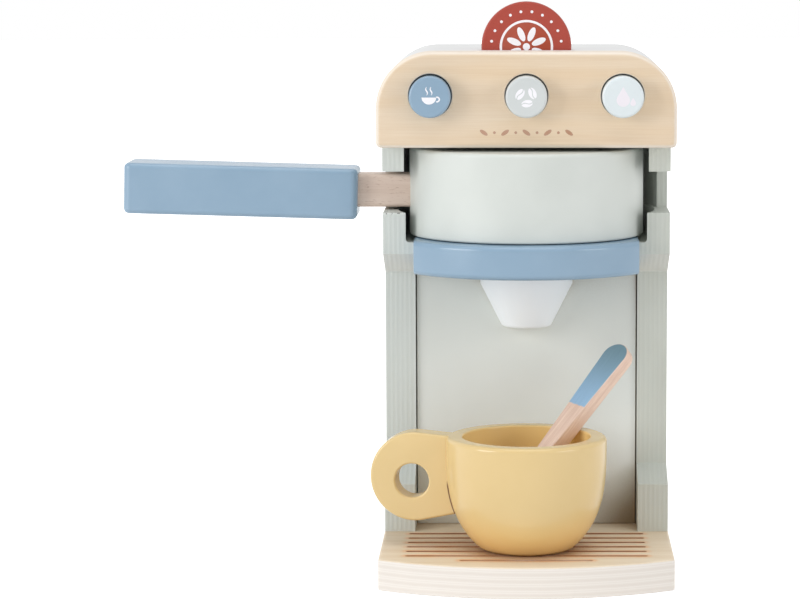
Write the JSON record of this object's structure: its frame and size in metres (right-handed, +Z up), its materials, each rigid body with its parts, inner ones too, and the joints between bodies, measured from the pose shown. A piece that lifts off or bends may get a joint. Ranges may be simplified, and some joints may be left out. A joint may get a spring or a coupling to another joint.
{
  "type": "toy coffee maker",
  "caption": "Toy coffee maker of painted plywood and turned wood, with sprung buttons, lift-out coffee pad, turning portafilter, cup and stirrer.",
  "frame": {"origin": "on the surface it stands on, at the centre of the base board's underside between its sides and halfway from the bowed front to the back", "axes": "+X to the right of a child in front of it, -Y to the front, +Z up"},
  "size_m": [0.2167, 0.133, 0.2218],
  "materials": {
    "birch_ply": "clear matt lacquer on birch plywood",
    "mint_paint": "matt sage-mint paint on plywood",
    "cover_paint": "matt off-white mint paint on bent plywood",
    "blue_paint": "satin dusty-blue paint on beech",
    "sage_paint": "satin grey-mint paint on beech",
    "pale_mint_paint": "satin pale mint paint on beech",
    "limewood": "clear matt lacquer on limewood",
    "beech": "plain sanded beech",
    "yellow_paint": "satin butter-yellow paint on turned wood",
    "red_brown_paint": "satin red-brown paint on plywood",
    "white_paint": "satin white paint on turned wood",
    "spring_steel": "bright spring wire"
  },
  "bodies": {
    "root": {"base_board": "birch_ply", "left_side_panel": "mint_paint", "right_side_panel": "mint_paint", "bay_panel": "mint_paint", "rear_panel": "mint_paint", "filter_shelf": "blue_paint", "spout": "white_paint", "head_floor": "mint_paint", "front_panel": "limewood", "top_cover": "cover_paint", "button_board": "birch_ply", "pad_holder": "birch_ply", "base_dowels": "beech", "shelf_dowels": "beech", "front_panel_dowels": "beech", "spout_dowel": "beech", "spring_left": "spring_steel", "spring_middle": "spring_steel", "spring_right": "spring_steel"},
    "button_left": {"button_left": "blue_paint"},
    "button_middle": {"button_middle": "sage_paint"},
    "button_right": {"button_right": "pale_mint_paint"},
    "portafilter": {"portafilter_drum": "mint_paint", "portafilter_neck": "beech", "portafilter_grip": "blue_paint"},
    "coffee_pad": {"coffee_pad": "red_brown_paint"},
    "cup": {"cup": "yellow_paint", "cup_handle": "yellow_paint"},
    "stirrer": {"stirrer": "beech"}
  },
  "joints": [
    {"name": "press_left", "type": "slide", "parent": "root", "child": "button_left", "axis": [0, 1, 0], "range_m": [0, 0.0035], "stiffness_N_per_m": 120, "springref_m": -0.004, "deforming": ["spring_left"]},
    {"name": "press_middle", "type": "slide", "parent": "root", "child": "button_middle", "axis": [0, 1, 0], "range_m": [0, 0.0035], "stiffness_N_per_m": 120, "springref_m": -0.004, "deforming": ["spring_middle"]},
    {"name": "press_right", "type": "slide", "parent": "root", "child": "button_right", "axis": [0, 1, 0], "range_m": [0, 0.0035], "stiffness_N_per_m": 120, "springref_m": -0.004, "deforming": ["spring_right"]},
    {"name": "portafilter_turn", "type": "hinge", "parent": "root", "child": "portafilter", "pos_m": [0, 0.0165, 0.14725], "axis": [0, 0, 1], "range_deg": [0, 180]},
    {"name": "pad_lift", "type": "slide", "parent": "root", "child": "coffee_pad", "axis": [0, 0, 1], "range_m": [0, 0.03]},
    {"name": "cup_slide", "type": "slide", "parent": "root", "child": "cup", "axis": [0, -1, 0], "range_m": [0, 0.08]},
    {"name": "stir", "type": "hinge", "parent": "cup", "child": "stirrer", "pos_m": [0, -0.0295, 0.056], "axis": [0, 0, 1], "range_deg": [-150, 25]}
  ]
}
